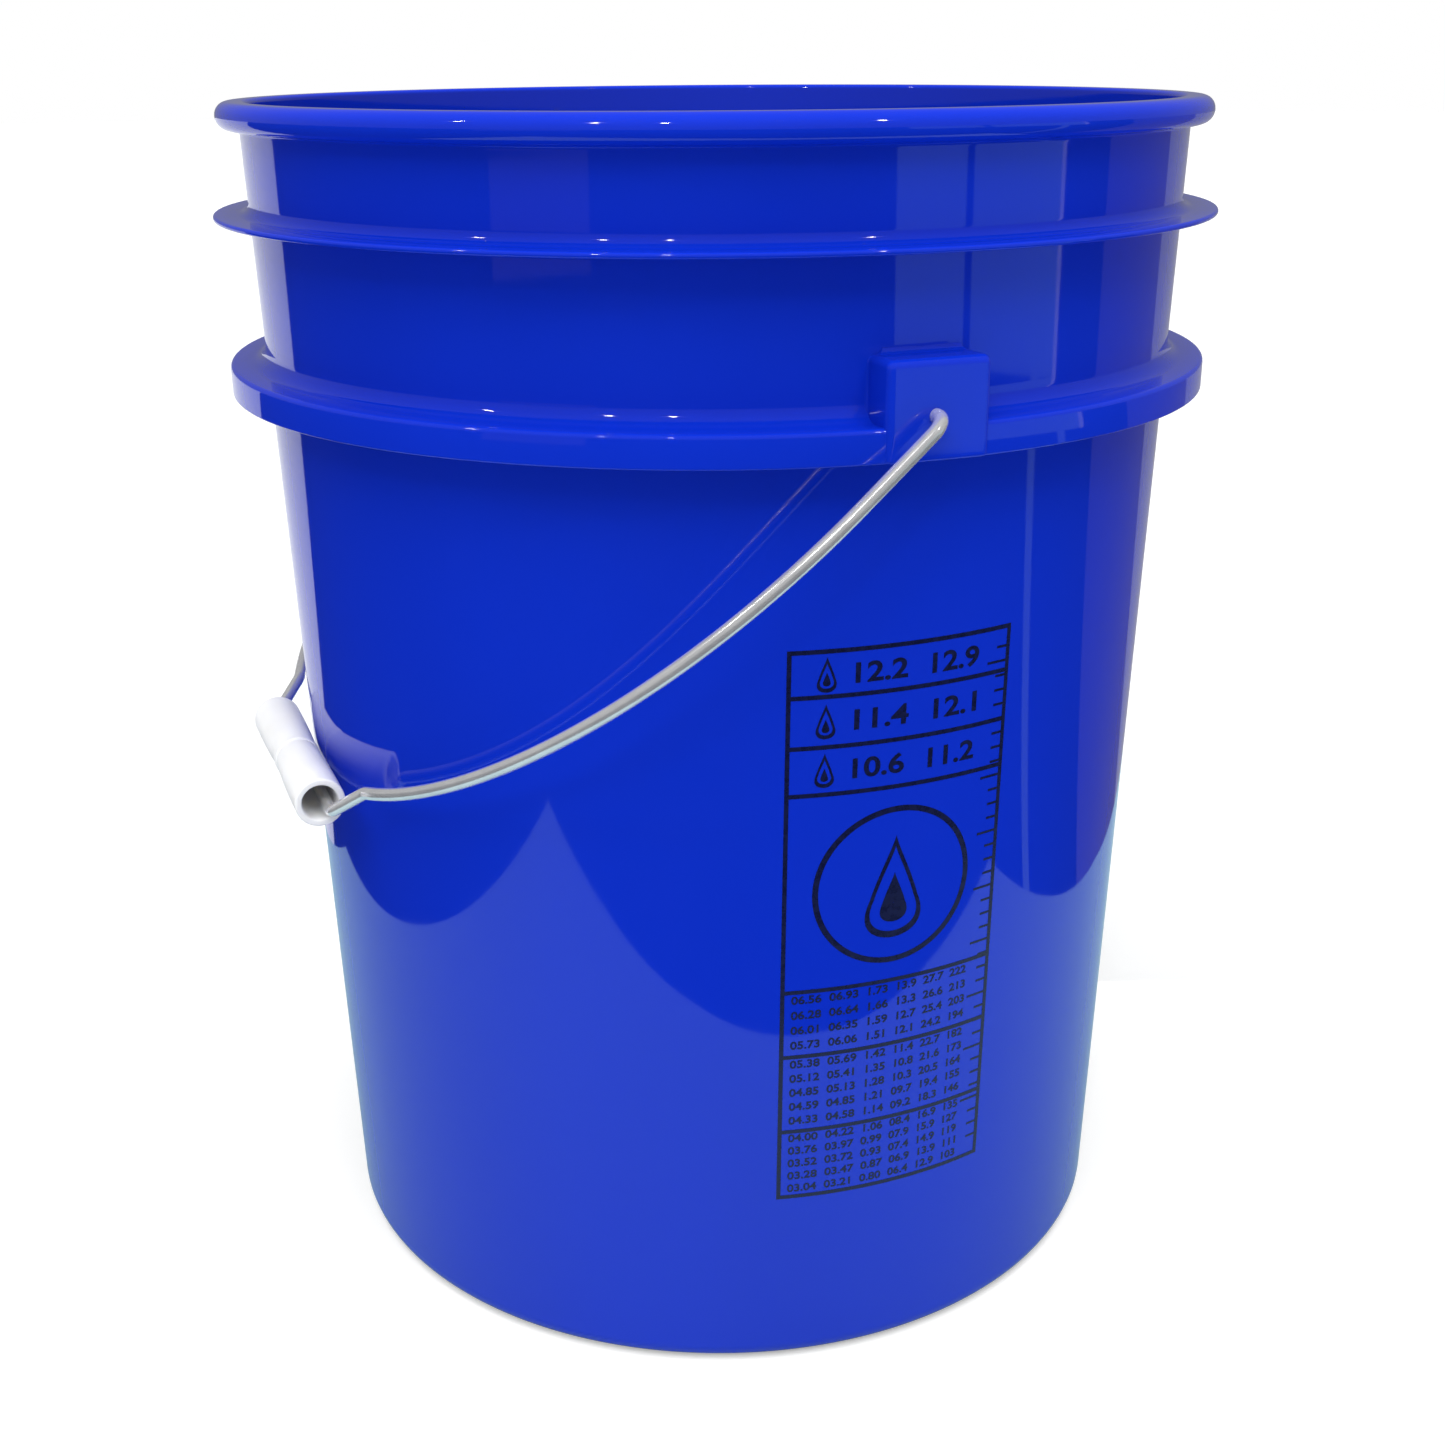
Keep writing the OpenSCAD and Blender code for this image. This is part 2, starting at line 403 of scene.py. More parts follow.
def drill(name, centre, radius, depth, steps=64):
    """A round bar along Y: two rings of points, joined and capped."""
    t = np.arange(steps) * 2 * np.pi / steps
    x = centre[0] + radius * np.cos(t)
    z = centre[2] + radius * np.sin(t)
    ends = [np.stack([x, np.full(steps, centre[1] + s * depth / 2), z], -1) for s in (-1, 1)]
    faces = grid_quads(2, steps, wrap_columns=True)
    faces.append(np.arange(steps)[::-1].tolist())
    faces.append((np.arange(steps) + steps).tolist())
    mesh = bpy.data.meshes.new(name)
    mesh.from_pydata((np.concatenate(ends) * MM).tolist(), [], faces)
    tool = bpy.data.objects.new(name, mesh)
    bpy.context.scene.collection.objects.link(tool)
    return tool


def applied(piece):
    """Replaces a piece's mesh by its shape with all modifiers worked out."""
    graph = bpy.context.evaluated_depsgraph_get()
    mesh = bpy.data.meshes.new_from_object(piece.evaluated_get(graph))
    piece.modifiers.clear()
    piece.data = mesh
    return piece


def ear_outline(half, out, corner, fillet):
    """Plan of the ear at one height, for the -Y side: rounded outer corners, and a small
    hollow fillet on each side where it meets the wall."""
    wide = half + fillet + 0.6
    near = math.sqrt(wall_r(RING_Z) ** 2 - wide ** 2) - 0.05
    wall = math.sqrt(wall_r(RING_Z) ** 2 - half ** 2) - 0.05
    back = wall_r(RING_Z) - 1.9
    corners = [
        (-wide, -back, 0.0), (-wide, -near, 0.0), (-half, -wall, fillet), (-half, -out, corner),
        (half, -out, corner), (half, -wall, fillet), (wide, -near, 0.0), (wide, -back, 0.0),
    ]
    return rounded(corners, steps=7, closed=True)


def ear_solid(name, side):
    """The ear before it is hollowed: its plans stacked from the bottom edge's rounding to
    the top's, and on up a fillet that runs into the wall."""
    a = np.linspace(0, math.pi / 2, 9)
    low = RING_Z - RING_H
    plans = [ear_outline(EAR_HALF - d, EAR_FACE - d, EAR_ROUND, EAR_FILLET)
             for d in EAR_FOOT * (1 - np.sin(a))]
    heights = list(low + EAR_FOOT * (1 - np.cos(a)))
    for z in np.linspace(low + 1.5, EAR_TOP - EAR_ROUND - 0.4, 6):
        plans.append(ear_outline(EAR_HALF, EAR_FACE, EAR_ROUND, EAR_FILLET))
        heights.append(z)
    for t in a:
        d = EAR_ROUND * (1 - math.cos(t))
        plans.append(ear_outline(EAR_HALF - d, EAR_FACE - d, EAR_ROUND - d + 0.05, EAR_FILLET))
        heights.append(EAR_TOP - EAR_ROUND + EAR_ROUND * math.sin(t))
    wall = wall_r(EAR_TOP)
    for t in a:
        out = wall + EAR_FILLET * (1 - math.sin(t)) + 0.02
        half = EAR_HALF - EAR_ROUND - EAR_FILLET * t / a[-1]
        plans.append(ear_outline(half, out, 0.05, 0.05))
        heights.append(EAR_TOP + EAR_FILLET * (1 - math.cos(t)) + 0.01)
    rows, columns = len(plans), len(plans[0])
    z = np.repeat(heights, columns).reshape(rows, columns)
    plan = np.array(plans)
    points = np.stack([-side * plan[..., 0], -side * plan[..., 1], z], -1).reshape(-1, 3)
    faces = grid_quads(rows, columns, wrap_columns=True)
    faces.append(np.arange(columns)[::-1].tolist())
    faces.append((np.arange(columns) + (rows - 1) * columns).tolist())
    mesh = bpy.data.meshes.new(name)
    mesh.from_pydata((points * MM).tolist(), [], faces)
    piece = bpy.data.objects.new(name, mesh)
    bpy.context.scene.collection.objects.link(piece)
    return piece


def make_ear(name, side):
    """One ear on the -Y side (side -1) or the +Y side (side 1)."""
    face = side * EAR_FACE
    ear = ear_solid(name, side)
    low = RING_Z - RING_H
    inset = EAR_HALF - EAR_T
    front = face - side * EAR_T
    beyond = side * (wall_r(0) - 10)
    space = block("space", [-inset, min(front, beyond), low - 10],
                  [inset, max(front, beyond), EAR_TOP - EAR_T])
    hole = drill("hole", [0, face, HOLE_Z], HOLE_R, 4 * EAR_T)
    for tool in (space, hole):
        cut = ear.modifiers.new("cut", "BOOLEAN")
        cut.operation = "DIFFERENCE"
        cut.solver = "EXACT"
        cut.object = tool
    applied(ear)
    for tool in (space, hole):
        bpy.data.objects.remove(tool)
    bevel = ear.modifiers.new("rounding", "BEVEL")
    bevel.width = 0.3 * MM
    bevel.segments = 3
    bevel.limit_method = "ANGLE"
    bevel.angle_limit = math.radians(60)
    bevel.harden_normals = True
    applied(ear)
    ear.data.polygons.foreach_set("use_smooth", np.ones(len(ear.data.polygons), bool))
    ear.data.set_sharp_from_angle(angle=math.radians(50))
    weigh = ear.modifiers.new("flat faces", "WEIGHTED_NORMAL")
    weigh.keep_sharp = True
    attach(ear, "pail")
    print(name, "has", len(ear.data.polygons), "faces")
    return ear


near_ear = make_ear("near_ear", -1)
far_ear = make_ear("far_ear", 1)

# %% [markdown]
# ## The bail
# The bail is one wire, hooked into both ears, bowed half round, and kinked out to a short
# straight run. Its centre line lies in one plane, so it is drawn flat, hanging straight
# down, as straights and arcs, and then the whole wire is turned to its rest angle.

# %% Centre line of the wire
WIRE_R = 1.9
LEG_Y = 158.3
LEG_L = 29.0
REACH = 188.6
BEND_R = 5.0
HOOK_IN = 14.0
HOOK_UP = 6.4
KINK_A = math.radians(21.5)
KINK_B = math.radians(53.5)
REST_A = math.radians(48.5)
swing = next(j for j in frame["joints"] if j["name"] == "bail_swing")
PIVOT = np.array(swing["pos_m"]) / MM


def arc(centre, radius, start, stop, steps):
    """Points on an arc in the wire's flat drawing, by angle from the +Y direction."""
    a = np.linspace(start, stop, steps)
    return np.stack([centre[0] + radius * np.cos(a), centre[1] + radius * np.sin(a)], -1)


def half_line():
    """Half of the centre line as (y, z) from the hooked end to the middle of the grip.
    The kink is two arcs with a straight between them, and its length comes from what is
    left of the reach after the bow and both arcs: it leans by KINK_B at its steepest."""
    inner = LEG_Y - HOOK_IN
    down, up = -math.pi / 2, math.pi / 2
    sa, ca, sb, cb = (math.sin(KINK_A), math.cos(KINK_A), math.sin(KINK_B), math.cos(KINK_B))
    run = (REACH - LEG_L - LEG_Y * ca - BEND_R * (ca - 2 * cb + 1)) / sb
    bow_end = np.array([LEG_Y * sa, -LEG_L - LEG_Y * ca])
    c1 = bow_end + BEND_R * np.array([sa, -ca])
    q1 = c1 + BEND_R * np.array([-sb, cb])
    q2 = q1 - run * np.array([cb, sb])
    c2 = q2 + BEND_R * np.array([-sb, cb])
    parts = [
        np.array([[inner, HOOK_UP]]),
        arc((inner + BEND_R, BEND_R), BEND_R, math.pi, 1.5 * math.pi, 14),
        arc((LEG_Y - BEND_R, -BEND_R), BEND_R, up, 0, 16),
        arc((0, -LEG_L), LEG_Y, 0, down + KINK_A, 150),
        arc(c1, BEND_R, up + KINK_A, up + KINK_B, 12),
        arc(c2, BEND_R, down + KINK_B, down, 14),
        np.array([[0.0, -REACH]]),
    ]
    return tidy(np.concatenate(parts))


def swept_wire(line, radius, sides=32):
    """Sweeps a circle along a flat centre line (y, z). A ring's two directions are the
    line's normal in the drawing and the drawing's own normal, X. The ends are domed."""
    step = np.gradient(line, axis=0)
    step /= np.linalg.norm(step, axis=1, keepdims=True)
    dome = np.radians([80, 55, 25])
    head = line[0] - step[0] * radius * 0.5 * np.sin(dome)[:, None]
    tail = line[-1] + step[-1] * radius * 0.5 * np.sin(dome[::-1])[:, None]
    centre = np.concatenate([head, line, tail])
    step = np.concatenate([np.repeat(step[:1], 3, 0), step, np.repeat(step[-1:], 3, 0)])
    size = np.full(len(centre), radius)
    size[:3] = radius * np.cos(dome)
    size[-3:] = radius * np.cos(dome[::-1])
    t = np.arange(sides) * 2 * np.pi / sides
    side = np.stack([-step[:, 1], step[:, 0]], -1)
    x = size[:, None] * np.sin(t)
    y = centre[:, :1] + size[:, None] * np.cos(t) * side[:, :1]
    z = centre[:, 1:] + size[:, None] * np.cos(t) * side[:, 1:]
    points = np.stack([x, y, z], -1).reshape(-1, 3)
    faces = grid_quads(len(centre), sides, wrap_columns=True)
    faces = [face[::-1] for face in faces]
    faces.append(np.arange(sides).tolist())
    faces.append((np.arange(sides)[::-1] + (len(centre) - 1) * sides).tolist())
    return hung(points), faces


def hung(points):
    """Turns points drawn hanging straight down to the bail's rest angle at its pivot."""
    c, s = math.cos(REST_A), math.sin(REST_A)
    x = points[..., 0] * c + points[..., 2] * s
    z = -points[..., 0] * s + points[..., 2] * c
    return np.stack([x, points[..., 1], z], -1) + PIVOT


half = half_line()
whole = np.concatenate([half, half[::-1][1:] * [-1, 1]])
whole = spaced(whole, 4.0)
bail = mesh_object("bail", *swept_wire(whole, WIRE_R), "bail", "plated_wire", sharp=60)
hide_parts("bail_wire")

# %% [markdown]
# ## The grip
# The grip is a thick-walled tube, moulded white, with a thin rib at its middle. It hangs
# loose on the wire, so its own axis comes from its spin joint and not from the wire.

# %% Grip
GRIP_L = 80.0
GRIP_R = 7.5
WAIST_R = 6.6
BORE_R = 5.2
RIB_H = 0.5
RIB_W = 2.0
GRIP_SLIDE = 5.0
spin = next(j for j in frame["joints"] if j["name"] == "grip_spin")
GRIP_AXIS = np.array(spin["pos_m"]) / MM + [0.0, -GRIP_SLIDE, 0.0]


def grip_r(along):
    """Outer radius: the waist's at the middle, and the end's less the difference times the
    cube of the share of the way still to go, so it grows quickly and then runs level."""
    share = np.abs(along) / (GRIP_L / 2)
    return GRIP_R - (GRIP_R - WAIST_R) * (1 - share) ** 3


def grip_section():
    """Closed section of the tube as (radius, place along the axis), with the bore's mouth
    opened a little and the rib's flanks rounded."""
    end = GRIP_L / 2
    rib = RIB_W / 2
    along = np.linspace(end - 1.0, rib + 1.2, 22)
    flank = [(grip_r(y), y, 0.0) for y in along]
    foot = (grip_r(rib + 0.25), rib + 0.25, 0.2)
    top = (WAIST_R + RIB_H, rib, 0.28)
    half = [(BORE_R, end - 1.5, 0.0), (BORE_R + 0.4, end, 0.35), (GRIP_R, end, 0.6)]
    half += [*flank, foot, top]
    other = [(r, -y, radius) for r, y, radius in half[::-1]]
    outline = rounded(half + other, steps=5, closed=True)
    return spaced(outline, 6.0, closed=True)[::-1]


def tube(section, sides=96):
    """Turns a closed section about the grip's axis, which runs along Y."""
    t = np.arange(sides) * 2 * np.pi / sides
    r = section[:, 0][:, None]
    along = section[:, 1][:, None]
    points = np.stack([r * np.sin(t), along + 0 * t, r * np.cos(t)], -1) + GRIP_AXIS
    faces = grid_quads(len(section), sides, wrap_rows=True, wrap_columns=True)
    return points.reshape(-1, 3), faces


grip_tube = mesh_object("grip_tube", *tube(grip_section()), "grip_tube", "grip_plastic", sharp=50)
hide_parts("grip")

# %% [markdown]
# ## The printed gauge
# The wall carries a black printed panel. Here it is a plain gauge: a frame with rows,
# quarter-litre ticks, lines of readings, and a water drop in a ring. Every reading and tick
# is true, worked out from the pail's own taper, and every mark is a thin film that follows
# the wall.

# %% Where the litres come
PRINT_TURN = 0.0
PRINT_W = 68.0
PRINT_LOW = 59.0
PRINT_HIGH = 232.4
LINE_W = 1.25
ROWS = (82.5, 107.9, 129.2, 190.3, 204.3, 218.9)
QUARTS, GALLONS, PINTS, CUPS, OUNCES = 1.05669, 0.264172, 2.11338, 4.22675, 33.814
FILM_LOW = -0.02
FILM_HIGH = 0.07


def level_of(litres):
    """Height of a filling: the cone's volume, pi / (3 k) times the difference of the cubes
    of its radii, solved for the upper radius and then for the height."""
    start = inner_r(0) + DRAFT * FLOOR_TOP
    cube = start ** 3 + 3 * DRAFT * litres * 1e6 / math.pi
    return (np.cbrt(cube) - inner_r(0)) / DRAFT


def litres_at(z):
    """The filling at a height, the same formula the other way round."""
    start = inner_r(0) + DRAFT * FLOOR_TOP
    return math.pi * (inner_r(z) ** 3 - start ** 3) / (3 * DRAFT * 1e6)


def wrap(s, z, lift):
    """Wraps flat ink at arc length s and height z onto the wall, lifted off it a little."""
    r = wall_r(z)
    turn = PRINT_TURN + s / r
    return np.stack([(r + lift) * np.sin(turn), -(r + lift) * np.cos(turn), z], -1)


def film(s, z, wrap_columns=False):
    """A closed film from a grid of flat points: an outer skin, an inner one and its edge."""
    rows, columns = s.shape
    top = wrap(s, z, FILM_HIGH).reshape(-1, 3)
    bottom = wrap(s, z, FILM_LOW).reshape(-1, 3)
    count = rows * columns
    outer = grid_quads(rows, columns, wrap_columns=wrap_columns)
    inner = [[v + count for v in face[::-1]] for face in outer]
    ids = np.arange(count).reshape(rows, columns)
    loops = [ids[0], ids[-1][::-1]]
    if not wrap_columns:
        loops = [np.concatenate([ids[0], ids[1:, -1], ids[-1, -2::-1], ids[-2:0:-1, 0]])]
    edge = []
    for loop in loops:
        nxt = np.roll(loop, -1)
        edge += np.stack([nxt, loop, loop + count, nxt + count], -1).tolist()
    return np.concatenate([top, bottom]), outer + inner + edge


def bar(s0, s1, z0, z1):
    """A straight bar of ink between two arc lengths and two heights."""
    s = np.linspace(s0, s1, max(2, math.ceil(abs(s1 - s0) / 2.5)))
    z = np.array([z0, z1])
    return film(*np.meshgrid(s, z))


def hoop(s0, z0, radius, width, steps=96):
    """A ring of ink: two circles, joined."""
    t = np.arange(steps) * 2 * np.pi / steps
    r = np.array([radius - width, radius])[:, None]
    return film(s0 + r * np.sin(t), z0 - r * np.cos(t), wrap_columns=True)


def drop(s0, z0, radius, tip, inner=0.0, steps=96):
    """A water drop about (s0, z0): the outline of a circle drawn up to a tip by a
    cusp, s = r sin t (sin(t / 2))^1.5 and z = tip at t = 0, and the same outline
    scaled towards the middle for its inside."""
    t = np.arange(steps) * 2 * np.pi / steps
    s = radius * np.sin(t) * np.abs(np.sin(t / 2)) ** 1.5
    z = np.where(np.cos(t) > 0, tip, radius) * np.cos(t)
    scale = np.array([max(inner, 0.02), 1.0])[:, None]
    return film(s0 - scale * s, z0 + scale * z, wrap_columns=True)


print("3 to 12 litres at", [round(float(level_of(n)), 1) for n in range(3, 13)])

# %% Numbers


def number(text, s0, z0, height, width):
    """Numbers from Blender's own plain typeface, as a film centred on (s0, z0)."""
    curve = bpy.data.curves.new("number", "FONT")
    curve.body = text
    curve.size = 1.0
    curve.align_x = "CENTER"
    curve.extrude = 0.5
    curve.offset = 0.022
    holder = bpy.data.objects.new("number", curve)
    bpy.context.scene.collection.objects.link(holder)
    graph = bpy.context.evaluated_depsgraph_get()
    mesh = bpy.data.meshes.new_from_object(holder.evaluated_get(graph))
    points = np.zeros(len(mesh.vertices) * 3)
    mesh.vertices.foreach_get("co", points)
    points = points.reshape(-1, 3)
    faces = [list(p.vertices) for p in mesh.polygons]
    bpy.data.objects.remove(holder)
    bpy.data.meshes.remove(mesh)
    low, high = points.min(0), points.max(0)
    k = height / (high[1] - low[1])
    wide = width / (high[0] - low[0])
    middle = (low[:2] + high[:2]) / 2
    s = s0 + (points[:, 0] - middle[0]) * wide
    z = z0 + (points[:, 1] - middle[1]) * k
    lift = np.where(points[:, 2] > 0, FILM_HIGH, FILM_LOW)
    return wrap(s, z, lift), faces


# %% Panel


def reading(z):
    """One line of the table: the filling at a height in six measures."""
    v = float(litres_at(z))
    return (f"{v:05.2f}  {v * QUARTS:05.2f}  {v * GALLONS:.2f}  {v * PINTS:04.1f}  "
            f"{v * CUPS:04.1f}  {v * OUNCES:03.0f}")


def frame_and_rows():
    """The panel's frame and the rules between its rows."""
    edge, line = PRINT_W / 2, LINE_W
    inside = edge - line
    parts = [
        bar(-edge, edge, PRINT_HIGH - line, PRINT_HIGH),
        bar(-edge, edge, PRINT_LOW, PRINT_LOW + line),
        bar(-edge, -inside, PRINT_LOW + line, PRINT_HIGH - line),
        bar(inside, edge, PRINT_LOW + line, PRINT_HIGH - line),
    ]
    return parts + [bar(-inside, inside, z - line / 2, z + line / 2) for z in ROWS]


def scale_ticks():
    """A tick at every quarter litre down the right side, longer at the whole ones."""
    inside = PRINT_W / 2 - LINE_W
    parts = []
    for quarter in range(13, 50):
        z = float(level_of(quarter / 4))
        if PRINT_LOW + 3 < z < PRINT_HIGH - 3:
            whole = quarter % 4 == 0
            length = 6.5 if whole else 3.4
            parts.append(bar(inside - length, inside, z - 0.35, z + 0.35))
    return parts


def table_lines():
    """Small lines of readings, each at its own height, filling the lower rows and the right
    of the upper ones."""
    parts = []
    for low, high, count in ((PRINT_LOW, ROWS[0], 5), (ROWS[0], ROWS[1], 5), (ROWS[1], ROWS[2], 4)):
        pitch = (high - low - 1.5) / count
        for z in low + 1.4 + pitch * (np.arange(count) + 0.5):
            parts.append(number(reading(z), -2.8, z, 2.7, 56.0))
    for low, high in zip(ROWS[3:], (*ROWS[4:], PRINT_HIGH - LINE_W)):
        middle = (low + high) / 2
        v = float(litres_at(middle))
        parts.append(number(f"{v:.1f}  {v * QUARTS:.1f}", 4.0, middle, 6.0, 38.0))
        parts.append(drop(-23.0, middle - 1.0, 3.9, 6.2, inner=0.72))
        parts.append(drop(-23.0, middle - 1.6, 1.5, 2.4))
    return parts


def gauge_parts():
    """Every mark on the panel, as films."""
    middle = (ROWS[2] + ROWS[3]) / 2
    mark = [
        hoop(-1.0, middle, 24.5, 1.7),
        drop(-1.0, middle - 4.0, 12.5, 19.5, inner=0.84),
        drop(-1.0, middle - 5.5, 6.0, 9.5),
    ]
    return frame_and_rows() + scale_ticks() + table_lines() + mark


printed_gauge = mesh_object("printed_gauge", *joined(gauge_parts()), "pail", "print_ink", sharp=30)

# %% [markdown]
# ## Finishes
# Each finish is a small node tree on Object coordinates, in metres, so its grain has a real
# scale. Gloss comes from the shader and the lights, never from painted light.

# %% Material helpers


def finish(name):
    """A new node material with its shader, tree and an Object coordinate output."""
    material = bpy.data.materials.new(name)
    material.use_nodes = True
    tree = material.node_tree
    shader = tree.nodes["Principled BSDF"]
    coords = tree.nodes.new("ShaderNodeTexCoord")
    return material, tree, shader, coords.outputs["Object"]


def noise(tree, coords, scale, detail=3.0, stretch=None):
    """A noise pattern with a number of features per metre, stretched if wanted."""
    node = tree.nodes.new("ShaderNodeTexNoise")
    node.inputs["Scale"].default_value = scale
    node.inputs["Detail"].default_value = detail
    if stretch is not None:
        mapping = tree.nodes.new("ShaderNodeMapping")
        mapping.inputs["Scale"].default_value = stretch
        tree.links.new(coords, mapping.inputs["Vector"])
        coords = mapping.outputs["Vector"]
    tree.links.new(coords, node.inputs["Vector"])
    return node.outputs["Fac"]


def spread(tree, value, low, high, start=0.3, stop=0.7):
    """Maps the middle of a noise to a range."""
    node = tree.nodes.new("ShaderNodeMapRange")
    node.inputs["From Min"].default_value = start
    node.inputs["From Max"].default_value = stop
    node.inputs["To Min"].default_value = low
    node.inputs["To Max"].default_value = high
    tree.links.new(value, node.inputs["Value"])
    return node.outputs["Result"]


def tint(tree, value, first, second):
    """Mixes two colours by a value."""
    node = tree.nodes.new("ShaderNodeMix")
    node.data_type = "RGBA"
    node.inputs["A"].default_value = (*first, 1.0)
    node.inputs["B"].default_value = (*second, 1.0)
    tree.links.new(value, node.inputs["Factor"])
    return node.outputs["Result"]


def bumps(tree, shader, layers):
    """Stacks bumps: each layer is a height and how deep it is in metres."""
    normal = None
    for height, depth in layers:
        node = tree.nodes.new("ShaderNodeBump")
        node.inputs["Strength"].default_value = 1.0
        node.inputs["Distance"].default_value = depth
        tree.links.new(height, node.inputs["Height"])
        if normal is not None:
            tree.links.new(normal, node.inputs["Normal"])
        normal = node.outputs["Normal"]
    tree.links.new(normal, shader.inputs["Normal"])


# %% Pail plastic, wire, grip plastic and ink
BLUE_DEEP = (0.0024, 0.0235, 0.475)
BLUE_PALE = (0.0030, 0.0265, 0.520)


def pail_plastic():
    """Blue polyethylene: deep colour, soft flow marks, faint orange peel, even gloss."""
    material, tree, shader, coords = finish("pail_plastic")
    flow = noise(tree, coords, 9.0, 2.0, stretch=(1.0, 1.0, 0.35))
    colour = tint(tree, spread(tree, flow, 0.0, 1.0), BLUE_DEEP, BLUE_PALE)
    tree.links.new(colour, shader.inputs["Base Color"])
    rub = noise(tree, coords, 60.0, 6.0)
    tree.links.new(spread(tree, rub, 0.025, 0.055), shader.inputs["Roughness"])
    shader.inputs["IOR"].default_value = 1.49
    peel = noise(tree, coords, 420.0, 2.0)
    sag = noise(tree, coords, 16.0, 1.0, stretch=(1.0, 1.0, 0.3))
    bumps(tree, shader, [(sag, 0.00006), (peel, 0.0000012)])
    return material


def plated_wire():
    """Zinc-plated drawn wire: bright metal, with fine lines and a mottled plate."""
    material, tree, shader, coords = finish("plated_wire")
    shader.inputs["Metallic"].default_value = 0.72
    mottle = noise(tree, coords, 160.0, 4.0)
    colour = tint(tree, spread(tree, mottle, 0.0, 1.0), (0.76, 0.76, 0.77), (0.86, 0.86, 0.86))
    tree.links.new(colour, shader.inputs["Base Color"])
    drawn = noise(tree, coords, 900.0, 3.0)
    tree.links.new(spread(tree, drawn, 0.15, 0.22), shader.inputs["Roughness"])
    bumps(tree, shader, [(drawn, 0.0000008)])
    return material


def grip_plastic():
    """White polyethylene: soft, slightly see-through, with a faint grain and handling marks."""
    material, tree, shader, coords = finish("grip_plastic")
    cloud = noise(tree, coords, 45.0, 4.0)
    colour = tint(tree, spread(tree, cloud, 0.0, 1.0), (0.80, 0.80, 0.79), (0.87, 0.87, 0.87))
    tree.links.new(colour, shader.inputs["Base Color"])
    tree.links.new(spread(tree, cloud, 0.30, 0.42), shader.inputs["Roughness"])
    shader.inputs["Subsurface Weight"].default_value = 0.35
    shader.inputs["Subsurface Radius"].default_value = (0.003, 0.0028, 0.0025)
    shader.inputs["Subsurface Scale"].default_value = 1.0
    grain = noise(tree, coords, 700.0, 3.0)
    bumps(tree, shader, [(grain, 0.00001)])
    return material


def print_ink():
    """Black screen-printed ink: thin, even and slightly mottled."""
    material, tree, shader, coords = finish("print_ink")
    mottle = noise(tree, coords, 500.0, 4.0)
    colour = tint(tree, spread(tree, mottle, 0.0, 1.0), (0.0015, 0.0035, 0.030), (0.002, 0.005, 0.05))
    tree.links.new(colour, shader.inputs["Base Color"])
    tree.links.new(spread(tree, mottle, 0.22, 0.34), shader.inputs["Roughness"])
    return material


BLUE = pail_plastic()
METAL = plated_wire()
WHITE = grip_plastic()
INK = print_ink()
COATS = {
    pail_shell: BLUE, carrying_ring: BLUE, ring_webs: BLUE, near_ear: BLUE, far_ear: BLUE,
    bail: METAL, grip_tube: WHITE, printed_gauge: INK,
}
for piece, coat in COATS.items():
    piece.data.materials.clear()
    piece.data.materials.append(coat)
for node, coat in (("pail_body", BLUE), ("bail_wire", METAL), ("grip", WHITE)):
    cad = frame["nodes"][node]
    cad.data.materials.clear()
    cad.data.materials.append(coat)

# %% [markdown]
# ## The studio
# The pail stands on a pale floor under soft light. A gloss wall is a mirror for the room in
# front of it, so a sheet that only reflections see lies there too. It has a table top with
# the room's floor round it, dark in most places and paler in a few.

# %% Floor, light and the room in front
TABLE_LEFT, TABLE_RIGHT = -0.45, 0.30
TABLE_FRONT = 0.31
TABLE_MIDDLE = 0.09
TABLE_BOW = 0.22
TABLE_SIDE = (0.36, 0.02)
TABLE_BACK_RIGHT = (0.39, 0.60)
TABLE_BACK_LEFT = (-0.27, 0.27)
LAMP_TURNS = (-86, -50, -33, 19)
LAMP_RANGE, LAMP_HEIGHT = 2.6, 2.4
LAMP_SIZE = (0.07, 0.24)
LAMP_POWER = 5.0
ROOM_RINGS = (0.8, 1.15, 1.5, 2.0, 3.3, 9.0)
DARK, DIM, GREY, SIDE, PALE, TABLE_TOP = range(6)
ROOM_PATCHES = [
    (-181, -147, 0.0, 9.0, PALE),
    (145, 181, 0.0, 9.0, PALE),
    (19, 36, 1.5, 9.0, GREY),
    (38, 63, 1.5, 9.0, GREY),
    (63, 65, 1.5, 9.0, PALE),
    (56, 58, 0.4, 1.5, GREY),
    (80, 112, 0.0, 9.0, DIM),
    (112, 145, 0.0, 9.0, SIDE),
    (-72, -49, 2.0, 3.3, DIM),
]


def plain(name, colour, glow=0.0):
    """A plain stage material, matt, or glowing if it has a glow."""
    material, tree, shader, _ = finish(name)
    shader.inputs["Base Color"].default_value = (*colour, 1.0)
    shader.inputs["Roughness"].default_value = 0.8
    shader.inputs["Emission Color"].default_value = (*colour, 1.0)
    shader.inputs["Emission Strength"].default_value = glow
    material.cycles.emission_sampling = "NONE"
    return material


def sheet_of(name, points, faces, material):
    """A stage sheet from points in metres."""
    mesh = bpy.data.meshes.new(name)
    mesh.from_pydata(points, [], faces)
    mesh.materials.append(material)
    sheet = bpy.data.objects.new(name, mesh)
    bpy.context.scene.collection.objects.link(sheet)
    return sheet


